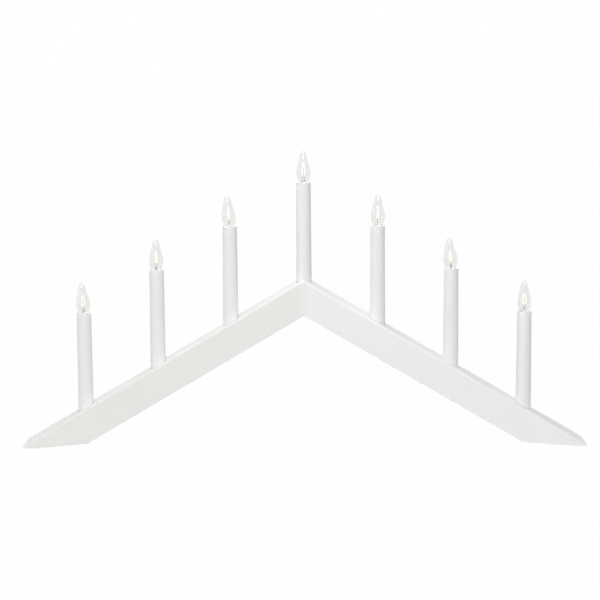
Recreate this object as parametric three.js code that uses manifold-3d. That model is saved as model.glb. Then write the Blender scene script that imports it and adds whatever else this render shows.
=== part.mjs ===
// Electric Advent candlestick: two mitred wooden arms carry seven candle tubes with screw-in bulbs.
// Millimetres, +Z up. The origin is on the table under the middle of the apex, and the front faces -Y.

import * as THREE from 'three';
import { mergeVertices } from 'three/addons/utils/BufferGeometryUtils.js';
import Module from 'manifold-3d';

const wasm = await Module();
wasm.setup();

// Wooden arms
const SPAN = 667; // tip to tip
const ARM_SLOPE_DEG = 30.56; // of the top faces, from the table
const ARM_HEIGHT = 35.1; // square to the slope
const ARM_DEPTH = 50; // front to back
const TIP_NOSE = 0.8; // height of the blunt end of each tip
const FOOT_LANDING = 15; // flat under each tip that the candlestick stands on
const FOOT_RELIEF_DEG = 5; // rise of the foot's underside from the landing to the heel
const GLUE_LINE = 0.2; // gap between the two mitre faces

// Mitre dowels, one before and one behind the middle candle
const DOWEL_DIAMETER = 6;
const DOWEL_LENGTH = 30;
const DOWEL_FIT = 0.2; // radial gap and end gap in the dowel holes

// Wire groove under each arm, with its cover
const GROOVE_WIDTH = 8;
const GROOVE_DEPTH = 9; // square to the underside
const WIRE_HOLE_DIAMETER = 7; // from each candle's hole down to the groove
const COVER_THICKNESS = 2;
const COVER_FIT = 0.3; // gap from the cover to the groove's walls and to the other cover

// Cord bush in the back of the right arm
const CORD_DIAMETER = 4.2;
const BUSH_WALL = 1.1;
const BUSH_LENGTH = 10;
const BUSH_FLANGE_WIDTH = 1.4;
const BUSH_FLANGE_THICKNESS = 1.2;
const BUSH_FIT = 0.3;

// Candles along each arm, besides the middle one on the ridge
const CANDLES_PER_ARM = 3;
const END_MARGIN = 73.5; // from the tip to the axis of the outermost candle

// Candle tube
const TUBE_SHOW = 113.1; // on the axis, from the arm's top face to the rim
const TUBE_SEAT = 14; // depth of the tube's hole on the axis, below the arm's top face
const TUBE_WALL = 1.05;
const TUBE_FLARE = 0.7; // how much the outer radius grows from the rim to the foot
const TUBE_FIT = 0.3; // gap between the tube's foot and its hole
const RIM_ROUND = 0.4;
const LEDGE_WIDTH = 1.15; // inner ledge that the lamp holder stands on
const LEDGE_THICKNESS = 2;

// Lamp holder and its screw shell
const HOLDER_RECESS = 0.3; // from the tube's rim down to the holder's top
const HOLDER_LENGTH = 21.2;
const HOLDER_WALL = 1.35;
const HOLDER_MOUTH = 0.5; // chamfer round the holder's open end
const HOLDER_FLOOR = 2;
const HOLDER_FIT = 0.25; // gap from the holder to the tube, and from the shell to the holder
const SEAT_GAP = 0.2; // under a piece that stands on another
const SHELL_WALL = 0.4;
const SHELL_LENGTH = 12;

// Bulb, screwed in
const CAP_DIAMETER = 9.5;
const CAP_LENGTH = 9.5;
const CAP_WALL = 0.3;
const THREAD_CLEARANCE = 0.35; // radial, between cap and screw shell
const COLLAR_STEP = 0.5; // how far the cap's collar stands out over its thread
const COLLAR_LENGTH = 2;
const BUTTON_DIAMETER = 3.2;
const BUTTON_HEIGHT = 1;
const INSULATOR_HEIGHT = 1.5;
const GLASS_DIAMETER = 16.7;
const GLASS_SHOW = 36.6; // above the tube's rim
const GLASS_BELLY = 10.5; // height of the widest place above the rim
const NECK_RUN = 2.5; // how far the neck runs upright over the cap before it widens
const BELLY_DROP = 7.3; // how far the belly runs upright below its widest place
const BELLY_RISE = 6; // and above it
const FLANK_HEIGHT = 24.3; // middle of the straight flank above the rim
const FLANK_DIAMETER = 11.2;
const FLANK_RUN = 4.5; // half the height of the straight flank
const FLANK_LEAN = 0.23; // how far the flank draws in for each millimetre of height
const GLASS_TIP = 3.2; // bluntness of the tip
const GLASS_WALL = 0.6;
const NECK_INSERT = 4; // how deep the glass neck sits in the cap
const NECK_FIT = 0.3;
const PINCH_HEIGHT = 6; // top of the glass stem above the rim
const PINCH_RADIUS = 1;
const FILAMENT_HEIGHT = 20; // top of the hairpin above the rim
const FILAMENT_SPREAD = 1.9; // from the bulb's axis to each leg at its widest
const FILAMENT_WIRE = 0.55;
const FILAMENT_TURN_DEG = 62; // each bulb stops at another angle than the one beside it

// Wiring loom
const TRUNK_DIAMETER = 4;
const TRUNK_CLEARANCE = 0.4; // from the loom's trunk to the groove's ceiling
const WIRE_DIAMETER = 1.6;
const WIRE_SPACING = 2.2; // between the two wires of one candle
const WIRE_CLEARANCE = 0.4; // around a wire where it goes through the holder's floor
const WIRE_BEND = 12; // height below the holder over which the shell wire straightens up
const TAB_DIAMETER = 4.8;
const TAB_THICKNESS = 0.6;

// Facets
const TUBE_SIDES = 20;
const GLASS_SIDES = 14;
const HOLDER_SIDES = 12;
const HOLE_SIDES = 24;
const WIRE_SIDES = 6;
const STEM_SIDES = 10;
const NECK_STEPS = 5; // along the glass from the cap to the belly
const FLANK_STEPS = 4; // from the belly to the middle of the flank
const TIP_STEPS = 5; // and from there to the tip
const HAIRPIN_STEPS = 14;
const WIRE_STEPS = 8;
const OVERCUT = 5; // how far a cutting shape runs past the face that it opens

// Heights along the arms, at a distance x from the middle
const slope = THREE.MathUtils.degToRad(ARM_SLOPE_DEG);
const rise = Math.tan(slope);
const upright = 1 / Math.cos(slope); // a thickness square to the slope, measured straight up
const halfSpan = SPAN / 2;
const apexTop = TIP_NOSE + halfSpan * rise;
const topAt = (x) => apexTop - Math.abs(x) * rise;
const underAt = (x) => topAt(x) - ARM_HEIGHT * upright;
const ceilingAt = (x) => underAt(x) + GROOVE_DEPTH * upright;
const trunkAt = (x) => ceilingAt(x) - (TRUNK_CLEARANCE + TRUNK_DIAMETER / 2) * upright;

// The heel, where the foot's underside meets the arm's underside
const landingStart = halfSpan - FOOT_LANDING;
const reliefRise = Math.tan(THREE.MathUtils.degToRad(FOOT_RELIEF_DEG));
const heelX = (underAt(0) - landingStart * reliefRise) / (rise - reliefRise);

// Radii from the bulb's cap outwards to the tube's hole in the wood
const capRadius = CAP_DIAMETER / 2;
const shellBore = capRadius + THREAD_CLEARANCE;
const shellRadius = shellBore + SHELL_WALL;
const holderBore = shellRadius + HOLDER_FIT;
const holderRadius = holderBore + HOLDER_WALL;
const tubeBore = holderRadius + HOLDER_FIT;
const rimRadius = tubeBore + TUBE_WALL;
const tubeFootRadius = rimRadius + TUBE_FLARE;
const tubeHoleRadius = tubeFootRadius + TUBE_FIT;
const wireRadius = WIRE_DIAMETER / 2;
const trunkRadius = TRUNK_DIAMETER / 2;
const neckRadius = capRadius - CAP_WALL - NECK_FIT;

// Heights inside a candle, from its rim
const holderTop = -HOLDER_RECESS;
const holderBottom = holderTop - HOLDER_LENGTH;
const holderFloorTop = holderBottom + HOLDER_FLOOR;
const ledgeTop = holderBottom - SEAT_GAP;
const ledgeBottom = ledgeTop - LEDGE_THICKNESS;
const tubeBottom = -TUBE_SHOW - TUBE_SEAT + SEAT_GAP;
const shellBottom = holderFloorTop + SEAT_GAP;
const tabBottom = holderFloorTop + SEAT_GAP;
const buttonBottom = tabBottom + TAB_THICKNESS + SEAT_GAP;
const insulatorBottom = buttonBottom + BUTTON_HEIGHT;
const capBottom = insulatorBottom + INSULATOR_HEIGHT;
const capShoulder = capBottom + CAP_LENGTH;
const capTop = capShoulder + COLLAR_LENGTH;
const neckBottom = capShoulder - NECK_INSERT;

// Candles from left to right
const candlePitch = (halfSpan - END_MARGIN) / CANDLES_PER_ARM;
const candles = [];
for (let step = -CANDLES_PER_ARM; step <= CANDLES_PER_ARM; step += 1) {
  const x = step * candlePitch;
  candles.push({ number: step + CANDLES_PER_ARM + 1, step, x, rim: topAt(x) + TUBE_SHOW });
}

// Finishes
const finish = (color, roughness, metalness = 0, extra = {}) => () =>
  new THREE.MeshStandardMaterial({ color, roughness, metalness, ...extra });
const whitePaint = finish(0xf0f0ec, 0.45);
const whitePlastic = finish(0xf1f1f3, 0.4);
const creamPlastic = finish(0xe6e2d6, 0.5);
const rawBeech = finish(0xd3b68a, 0.7);
const brass = finish(0xc8a45c, 0.35, 1);
const nickel = finish(0xc9c8c2, 0.3, 1);
const darkGlass = finish(0x2a292b, 0.35);
const clearGlass = finish(0xf4f6f6, 0.05, 0, { transparent: true, opacity: 0.3 });
const tungsten = finish(0xe0a85a, 0.4, 0.5);
const wireCover = finish(0xdfddd6, 0.55);

// One closed body: shared corners merged, flat slivers dropped, faces turned outwards
function closedBody(geometry) {
  const bare = geometry.clone();
  bare.deleteAttribute('normal');
  bare.deleteAttribute('uv');
  const merged = mergeVertices(bare);
  const corners = [];
  const index = merged.index;
  let volume = 0;
  const a = new THREE.Vector3();
  const b = new THREE.Vector3();
  const c = new THREE.Vector3();
  for (let i = 0; i < index.count; i += 3) {
    const face = [index.getX(i), index.getX(i + 1), index.getX(i + 2)];
    if (new Set(face).size < face.length) continue;
    corners.push(face);
    a.fromBufferAttribute(merged.attributes.position, face[0]);
    b.fromBufferAttribute(merged.attributes.position, face[1]);
    c.fromBufferAttribute(merged.attributes.position, face[2]);
    volume += a.dot(b.cross(c));
  }
  const outward = volume > 0 ? corners : corners.map((face) => face.toReversed());
  merged.setIndex(outward.flat());
  return merged;
}

// A geometry as a solid that can be joined and cut, and back again
function solid(geometry) {
  const body = closedBody(geometry);
  const vertProperties = new Float32Array(body.attributes.position.array);
  const triVerts = new Uint32Array(body.index.array);
  return new wasm.Manifold(new wasm.Mesh({ numProp: 3, vertProperties, triVerts }));
}

function geometryOf(body) {
  const { vertProperties, triVerts } = body.getMesh();
  const geometry = new THREE.BufferGeometry();
  geometry.setAttribute('position', new THREE.BufferAttribute(vertProperties, 3));
  geometry.setIndex(new THREE.BufferAttribute(triVerts, 1));
  return geometry;
}

// A round piece about the vertical axis, from its [radius, height] outline
function turned(outline, sides) {
  const points = outline.map(([radius, height]) => new THREE.Vector2(radius, height));
  return closedBody(new THREE.LatheGeometry(points, sides).rotateX(Math.PI / 2));
}

// A round ring: its outline comes back to where it starts
function turnedRing(outline, sides) {
  return turned([...outline, outline[0]], sides);
}

// A flat [x, z] outline given a depth, centred on the middle plane
function sawn(outline, depth) {
  const shape = new THREE.Shape(outline.map(([x, z]) => new THREE.Vector2(x, z)));
  const board = new THREE.ExtrudeGeometry(shape, { depth, bevelEnabled: false });
  return board.rotateX(Math.PI / 2).translate(0, depth / 2, 0);
}

// Upright round cutter or rod between two heights
function uprightRod(radius, x, bottom, top, sides) {
  const rod = new THREE.CylinderGeometry(radius, radius, top - bottom, sides);
  return rod.rotateX(Math.PI / 2).translate(x, 0, (bottom + top) / 2);
}

// A wire of a given radius along a curve
function wireAlong(path, radius, steps, sides = WIRE_SIDES) {
  const corners = [];
  for (let side = 0; side < sides; side += 1) {
    const turn = (2 * Math.PI * side) / sides;
    corners.push(new THREE.Vector2(radius * Math.cos(turn), radius * Math.sin(turn)));
  }
  const section = new THREE.Shape(corners);
  return new THREE.ExtrudeGeometry(section, { extrudePath: path, steps, bevelEnabled: false });
}

// Middle of the wood in front of and behind the middle candle, where the dowels lie
const dowelY = (tubeHoleRadius + ARM_DEPTH / 2) / 2;
const dowelZ = (topAt(0) + underAt(0)) / 2;

function dowel() {
  const radius = DOWEL_DIAMETER / 2;
  return new THREE.CylinderGeometry(radius, radius, DOWEL_LENGTH, HOLDER_SIDES).rotateZ(Math.PI / 2);
}

function dowelHole(y) {
  const radius = DOWEL_DIAMETER / 2 + DOWEL_FIT;
  const length = DOWEL_LENGTH + 2 * DOWEL_FIT;
  const hole = new THREE.CylinderGeometry(radius, radius, length, HOLDER_SIDES);
  return hole.rotateZ(Math.PI / 2).translate(0, y, dowelZ);
}

// Cord bush: a flanged sleeve let into the back of the right arm, opening into the outermost wire hole
const bushX = candles.at(-1).x;
const bushBore = CORD_DIAMETER / 2;
const bushRadius = bushBore + BUSH_WALL;
const bushFlangeRadius = bushRadius + BUSH_FLANGE_WIDTH;
const bushZ = ceilingAt(bushX) + bushRadius + BUSH_FIT;
const bushBack = ARM_DEPTH / 2 - SEAT_GAP;

function cordBush() {
  const flangeFront = -BUSH_FLANGE_THICKNESS;
  const outline = [
    [bushBore, -BUSH_LENGTH],
    [bushRadius, -BUSH_LENGTH],
    [bushRadius, flangeFront],
    [bushFlangeRadius, flangeFront],
    [bushFlangeRadius, 0],
    [bushBore, 0],
  ];
  return turnedRing(outline, HOLDER_SIDES).rotateX(-Math.PI / 2);
}

function bushHole() {
  const barrel = bushRadius + BUSH_FIT;
  const flange = bushFlangeRadius + BUSH_FIT;
  const recess = bushBack - BUSH_FLANGE_THICKNESS - SEAT_GAP;
  const back = ARM_DEPTH / 2 + OVERCUT;
  const bore = new THREE.CylinderGeometry(barrel, barrel, back, HOLDER_SIDES);
  const sink = new THREE.CylinderGeometry(flange, flange, back - recess, HOLDER_SIDES);
  bore.translate(bushX, back / 2, bushZ);
  sink.translate(bushX, (back + recess) / 2, bushZ);
  return solid(bore).add(solid(sink));
}

// One arm; side is -1 for the left one and 1 for the right one
function arm(side) {
  const mitre = GLUE_LINE / 2;
  const outline = [
    [mitre, underAt(mitre)],
    [heelX, underAt(heelX)],
    [landingStart, 0],
    [halfSpan, 0],
    [halfSpan, TIP_NOSE],
    [mitre, topAt(mitre)],
  ];
  const groove = [
    [-OVERCUT, underAt(0) + OVERCUT * rise - OVERCUT],
    [halfSpan, underAt(halfSpan) - OVERCUT],
    [halfSpan, ceilingAt(halfSpan)],
    [-OVERCUT, ceilingAt(0) + OVERCUT * rise],
  ];
  const onSide = ([x, z]) => [side * x, z];
  let body = solid(sawn(outline.map(onSide), ARM_DEPTH));
  body = body.subtract(solid(sawn(groove.map(onSide), GROOVE_WIDTH)));
  for (const { step, x } of candles) {
    if (step * side < 0) continue;
    const floor = topAt(x) - TUBE_SEAT;
    const mouth = topAt(x) + tubeHoleRadius * rise + OVERCUT;
    body = body.subtract(solid(uprightRod(tubeHoleRadius, x, floor, mouth, HOLE_SIDES)));
    const wireHole = uprightRod(WIRE_HOLE_DIAMETER / 2, x, trunkAt(x), floor + OVERCUT, HOLDER_SIDES);
    body = body.subtract(solid(wireHole));
  }
  for (const y of [-dowelY, dowelY]) body = body.subtract(solid(dowelHole(y)));
  if (side > 0) body = body.subtract(bushHole());
  return geometryOf(body);
}

// Cover pressed into the mouth of the groove, flush with the underside, from the mitre to the heel
function grooveCover(side) {
  const end = heelX - COVER_FIT;
  const thickness = COVER_THICKNESS * upright;
  const outline = [
    [COVER_FIT, underAt(COVER_FIT)],
    [end, underAt(end)],
    [end, underAt(end) + thickness],
    [COVER_FIT, underAt(COVER_FIT) + thickness],
  ];
  return sawn(outline.map(([x, z]) => [side * x, z]), GROOVE_WIDTH - 2 * COVER_FIT);
}

// Candle tube: a tapered sleeve, its inside following the taper up to the holder's ledge
function candleTube() {
  const flareAt = (height) => (TUBE_FLARE * height) / tubeBottom;
  const outline = [
    [tubeFootRadius, tubeBottom],
    [rimRadius + flareAt(-RIM_ROUND), -RIM_ROUND],
    [rimRadius - RIM_ROUND, 0],
    [tubeBore, 0],
    [tubeBore, ledgeTop],
    [tubeBore - LEDGE_WIDTH, ledgeTop],
    [tubeBore - LEDGE_WIDTH, ledgeBottom],
    [tubeBore + flareAt(ledgeBottom), ledgeBottom],
    [tubeFootRadius - TUBE_WALL, tubeBottom],
  ];
  return turnedRing(outline, TUBE_SIDES);
}

// Where the shell wire comes up through the holder's floor, just inside the holder's bore
const shellWireX = holderBore - HOLDER_FIT - WIRE_CLEARANCE - wireRadius;

// Lamp holder: an insulating cup with a hole in its floor for each of its two wires
function lampHolder() {
  const outline = [
    [0, holderBottom],
    [holderRadius, holderBottom],
    [holderRadius, holderTop],
    [holderBore + HOLDER_MOUTH, holderTop],
    [holderBore, holderTop - HOLDER_MOUTH],
    [holderBore, holderFloorTop],
    [0, holderFloorTop],
  ];
  let body = solid(turned(outline, HOLDER_SIDES));
  for (const x of [0, shellWireX]) {
    const radius = wireRadius + WIRE_CLEARANCE;
    const hole = uprightRod(radius, x, holderBottom - OVERCUT, holderFloorTop + OVERCUT, HOLDER_SIDES);
    body = body.subtract(solid(hole));
  }
  return geometryOf(body);
}

function screwShell() {
  const shellTop = shellBottom + SHELL_LENGTH;
  const outline = [
    [shellBore, shellBottom],
    [shellRadius, shellBottom],
    [shellRadius, shellTop],
    [shellBore, shellTop],
  ];
  return turnedRing(outline, HOLDER_SIDES);
}

// Bulb cap: a thin sleeve with a wider collar round the glass neck
function bulbCap() {
  const collar = capRadius + COLLAR_STEP;
  const outline = [
    [capRadius - CAP_WALL, capBottom],
    [capRadius, capBottom],
    [capRadius, capShoulder],
    [collar, capShoulder + COLLAR_STEP],
    [collar, capTop],
    [collar - CAP_WALL, capTop],
    [collar - CAP_WALL, capShoulder + COLLAR_STEP],
    [capRadius - CAP_WALL, capShoulder],
  ];
  return turnedRing(outline, HOLDER_SIDES);
}

// Insulator that closes the cap's lower end, with the contact button under it
function bulbContact() {
  const button = BUTTON_DIAMETER / 2;
  const plug = capRadius - CAP_WALL - NECK_FIT;
  const outline = [
    [0, buttonBottom],
    [button, buttonBottom],
    [button, insulatorBottom],
    [plug, capBottom - SEAT_GAP],
    [plug, capBottom + INSULATOR_HEIGHT],
    [0, capBottom + INSULATOR_HEIGHT],
  ];
  return turned(outline, HOLDER_SIDES);
}

// Glass outline from the open neck to the tip, moved in by inset
function glassOutline(inset) {
  const neck = neckRadius - inset;
  const belly = GLASS_DIAMETER / 2 - inset;
  const flank = FLANK_DIAMETER / 2 - inset;
  const lean = FLANK_LEAN * FLANK_RUN;
  const tip = GLASS_SHOW - inset;
  const curve = (...corners) => new THREE.CubicBezierCurve(...corners.map(([x, y]) => new THREE.Vector2(x, y)));
  const lower = curve(
    [neck, capTop],
    [neck, capTop + NECK_RUN],
    [belly, GLASS_BELLY - BELLY_DROP],
    [belly, GLASS_BELLY],
  );
  const middle = curve(
    [belly, GLASS_BELLY],
    [belly, GLASS_BELLY + BELLY_RISE],
    [flank + lean, FLANK_HEIGHT - FLANK_RUN],
    [flank, FLANK_HEIGHT],
  );
  const upper = curve(
    [flank, FLANK_HEIGHT],
    [flank - lean, FLANK_HEIGHT + FLANK_RUN],
    [GLASS_TIP, tip],
    [0, tip],
  );
  const points = [
    ...lower.getPoints(NECK_STEPS),
    ...middle.getPoints(FLANK_STEPS).slice(1),
    ...upper.getPoints(TIP_STEPS).slice(1),
  ];
  return [[neck, neckBottom], ...points.map(({ x, y }) => [x, y])];
}

function bulbGlass() {
  const outside = glassOutline(0);
  const inside = glassOutline(GLASS_WALL);
  return turned([...inside.toReversed(), ...outside], GLASS_SIDES);
}

// Glass stem with a hairpin filament on top of it
function filamentMount() {
  const flare = neckRadius - GLASS_WALL - NECK_FIT;
  const stem = [
    [0, neckBottom],
    [flare, neckBottom],
    [flare, capTop],
    [PINCH_RADIUS, PINCH_HEIGHT - PINCH_RADIUS],
    [PINCH_RADIUS, PINCH_HEIGHT],
    [0, PINCH_HEIGHT],
  ];
  const root = PINCH_HEIGHT - PINCH_RADIUS;
  const rootSpread = PINCH_RADIUS / 2;
  const bend = (PINCH_HEIGHT + FILAMENT_HEIGHT) / 2;
  const leg = (side) => [
    new THREE.Vector3(side * rootSpread, 0, root),
    new THREE.Vector3(side * rootSpread, 0, PINCH_HEIGHT),
    new THREE.Vector3(side * FILAMENT_SPREAD, 0, bend),
  ];
  const top = FILAMENT_HEIGHT - FILAMENT_WIRE / 2;
  const points = [...leg(-1), new THREE.Vector3(0, 0, top), ...leg(1).toReversed()];
  const hairpin = wireAlong(new THREE.CatmullRomCurve3(points), FILAMENT_WIRE / 2, HAIRPIN_STEPS);
  return geometryOf(solid(turned(stem, STEM_SIDES)).add(solid(hairpin)));
}

// Wiring loom: a trunk in both grooves, and two wires up each tube to the shell and the centre contact
function wiringLoom() {
  const straight = (from, to) => new THREE.LineCurve3(new THREE.Vector3(...from), new THREE.Vector3(...to));
  const trunkEnd = candles.at(-1).x + WIRE_SPACING;
  let body = null;
  const join = (geometry) => {
    body = body ? body.add(solid(geometry)) : solid(geometry);
  };
  for (const side of [-1, 1]) {
    const trunk = straight([0, 0, trunkAt(0)], [side * trunkEnd, 0, trunkAt(trunkEnd)]);
    join(wireAlong(trunk, trunkRadius, 1, 2 * WIRE_SIDES));
  }
  for (const { x, rim } of candles) {
    const tab = rim + tabBottom;
    join(uprightRod(wireRadius, x, trunkAt(x), tab + TAB_THICKNESS / 2, WIRE_SIDES));
    join(uprightRod(TAB_DIAMETER / 2, x, tab, tab + TAB_THICKNESS, HOLDER_SIDES));
    const lowX = x + WIRE_SPACING;
    const highX = x + shellWireX;
    const end = rim + holderFloorTop;
    const shellWire = new THREE.CubicBezierCurve3(
      new THREE.Vector3(lowX, 0, trunkAt(lowX)),
      new THREE.Vector3(lowX, 0, end - 2 * WIRE_BEND),
      new THREE.Vector3(highX, 0, end - WIRE_BEND),
      new THREE.Vector3(highX, 0, end),
    );
    join(wireAlong(shellWire, wireRadius, WIRE_STEPS));
  }
  return geometryOf(body);
}

// The candlestick, put together
const candlestick = new THREE.Group();

function place(parent, name, geometry, material) {
  const mesh = new THREE.Mesh(geometry, material());
  mesh.name = name;
  parent.add(mesh);
  return mesh;
}

for (const [word, side] of [['left', -1], ['right', 1]]) {
  place(candlestick, `${word}_arm`, arm(side), whitePaint);
  place(candlestick, `${word}_groove_cover`, grooveCover(side), whitePaint);
}
for (const [word, side] of [['front', -1], ['rear', 1]]) {
  place(candlestick, `${word}_mitre_dowel`, dowel(), rawBeech).position.set(0, side * dowelY, dowelZ);
}
place(candlestick, 'cord_bush', cordBush(), whitePlastic).position.set(bushX, bushBack, bushZ);
place(candlestick, 'wiring_loom', wiringLoom(), wireCover);

const tubeShape = candleTube();
const holderShape = lampHolder();
const shellShape = screwShell();
const capShape = bulbCap();
const contactShape = bulbContact();
const glassShape = bulbGlass();
const filamentShape = filamentMount();

for (const { number, step, x, rim } of candles) {
  const candle = new THREE.Group();
  candle.position.set(x, 0, rim);
  candlestick.add(candle);
  place(candle, `candle_tube_${number}`, tubeShape, whitePlastic);
  place(candle, `lamp_holder_${number}`, holderShape, creamPlastic);
  place(candle, `screw_shell_${number}`, shellShape, brass);

  const bulb = new THREE.Group();
  bulb.rotation.z = THREE.MathUtils.degToRad(FILAMENT_TURN_DEG * step);
  candle.add(bulb);
  place(bulb, `bulb_cap_${number}`, capShape, nickel);
  place(bulb, `bulb_contact_${number}`, contactShape, darkGlass);
  place(bulb, `bulb_glass_${number}`, glassShape, clearGlass);
  place(bulb, `filament_${number}`, filamentShape, tungsten);
}

export default candlestick;
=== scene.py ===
# %% [markdown]
# # An electric Advent candlestick
# Two white-painted battens lean together like the ridge of a roof and carry seven plastic
# candles with clear screw-in bulbs. The solids of the part are loaded first and stay where
# they are. Each step below gives a solid its finish, or makes a finer piece that stands for it.

# %% Load the solids
import math

import bmesh
import bpy
from mathutils import Matrix, Vector


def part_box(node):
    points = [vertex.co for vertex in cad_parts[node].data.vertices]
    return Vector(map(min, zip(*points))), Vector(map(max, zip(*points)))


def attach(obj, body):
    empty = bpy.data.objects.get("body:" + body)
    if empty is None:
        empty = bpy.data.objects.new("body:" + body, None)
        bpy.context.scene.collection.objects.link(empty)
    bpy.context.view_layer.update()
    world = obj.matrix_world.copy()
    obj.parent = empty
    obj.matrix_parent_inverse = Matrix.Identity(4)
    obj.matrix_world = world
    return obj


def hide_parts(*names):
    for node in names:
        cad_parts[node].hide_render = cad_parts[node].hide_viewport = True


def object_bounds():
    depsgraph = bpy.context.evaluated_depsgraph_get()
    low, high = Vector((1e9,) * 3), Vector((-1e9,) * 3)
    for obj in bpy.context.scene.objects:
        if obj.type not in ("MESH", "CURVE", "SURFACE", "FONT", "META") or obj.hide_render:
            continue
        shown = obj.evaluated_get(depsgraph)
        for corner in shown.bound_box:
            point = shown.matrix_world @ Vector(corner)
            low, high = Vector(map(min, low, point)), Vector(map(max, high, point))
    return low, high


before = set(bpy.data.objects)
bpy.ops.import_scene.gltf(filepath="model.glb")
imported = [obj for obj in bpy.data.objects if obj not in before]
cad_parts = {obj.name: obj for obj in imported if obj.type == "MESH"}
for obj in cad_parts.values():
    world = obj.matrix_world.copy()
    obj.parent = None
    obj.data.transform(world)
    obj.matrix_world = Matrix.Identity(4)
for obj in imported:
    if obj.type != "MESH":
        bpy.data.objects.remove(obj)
cad_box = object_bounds()
MM = 0.001
print("solids:", len(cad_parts), "size in mm:", [round(v / MM, 1) for v in cad_box[1] - cad_box[0]])

# %% [markdown]
# ## The camera
# The picture was taken from the front and a little above, with a long lens, so the arms hardly
# taper. A camera could be placed by eye. Here its place was worked out from the edges of the arms
# and the tops of the candles, so that the pieces land where the picture has them.

# %% Camera
LENS = 102.85
SENSOR = 36
DISTANCE = 2000 * MM
EYE_HEIGHT = 468 * MM
LOOK_DOWN = math.radians(8.422)
LOOK_LEFT = math.radians(0.137)
CAMERA_ROLL = math.radians(-0.306)

camera_data = bpy.data.cameras.new("front_camera")
camera_data.lens = LENS
camera_data.sensor_width = SENSOR
camera = bpy.data.objects.new("front_camera", camera_data)
bpy.context.scene.collection.objects.link(camera)
turn = Matrix.Rotation(LOOK_LEFT, 3, "Z")
tip = Matrix.Rotation(math.pi / 2 - LOOK_DOWN, 3, "X")
roll = Matrix.Rotation(CAMERA_ROLL, 3, "Z")
camera.rotation_euler = (turn @ tip @ roll).to_euler()
camera.location = (0, -DISTANCE, EYE_HEIGHT)
bpy.context.scene.camera = camera
print("camera stands", round(DISTANCE, 2), "m in front and", round(EYE_HEIGHT, 2), "m up")

# %% [markdown]
# ## Helpers for finishes
# Colours are written as hex codes, as a paint shop would give them, and shaders want linear
# values, so one function turns the one into the other. A second adds a node, sets what is fixed
# on it and links what comes from other nodes. It serves materials and shapes alike. A third
# starts a material from an empty tree. A Mix node has several sockets of one name, so those for
# colours are picked by their place.

# %% Helpers for colours and nodes
MIX_SHARE, MIX_FIRST, MIX_SECOND, MIX_RESULT = 0, 6, 7, 2


def linear(code):
    channels = [int(code[i:i + 2], 16) / 255 for i in (1, 3, 5)]
    return [c / 12.92 if c <= 0.04045 else ((c + 0.055) / 1.055) ** 2.4 for c in channels] + [1.0]


def add_node(tree, kind, inputs=None, **settings):
    node = tree.nodes.new(kind)
    for name, value in settings.items():
        setattr(node, name, value)
    for name, value in (inputs or {}).items():
        if isinstance(value, bpy.types.NodeSocket):
            tree.links.new(value, node.inputs[name])
        else:
            node.inputs[name].default_value = value
    return node


def empty_finish(name):
    material = bpy.data.materials.new(name)
    material.use_nodes = True
    material.node_tree.nodes.clear()
    return material, material.node_tree


print("white paint in linear values:", [round(c, 3) for c in linear("#f0f0ee")])

# %% [markdown]
# ## Satin white paint on planed pine
# The arms are planed battens, sprayed white. Satin paint spreads the light softly. Up close it
# shows a fine orange peel, and the grain lifts it a little in long thin ridges. One flat white
# would look like plastic, so two noises raise the surface and a slow third one shifts its tone. The
# grain runs along each arm, so its Mapping is turned to the arm's slope. Its Scale is the size of
# one ridge in metres, which the Texture type of Mapping allows. The left arm's white is darker, a
# painted shade, and the right arm's is lighter, a painted light, for how the light falls on each arm.
# The joint is filled and painted over. Within a few millimetres of it the painted shade runs into
# the painted light.

# %% Satin white paint
SLOPE = math.radians(30.56)
GRAIN_LENGTH = 60 * MM
GRAIN_WIDTH = 1.8 * MM
GRAIN_HEIGHT = 0.035 * MM
GRAIN_LOW, GRAIN_HIGH = 0.3, 0.7
SMOOTHEST, ROUGHEST = 0.40, 0.50
PEEL_WIDTH = 1.4 * MM
PEEL_HEIGHT = 0.012 * MM
CLOUD_WIDTH = 70 * MM
# The middle tone where the left arm's painted shade meets the right arm's painted light, and its width.
JOINT_PAINTED_SHADE = "#eeeeec"
PAINTED_SHADE_BLEND = 6 * MM


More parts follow.
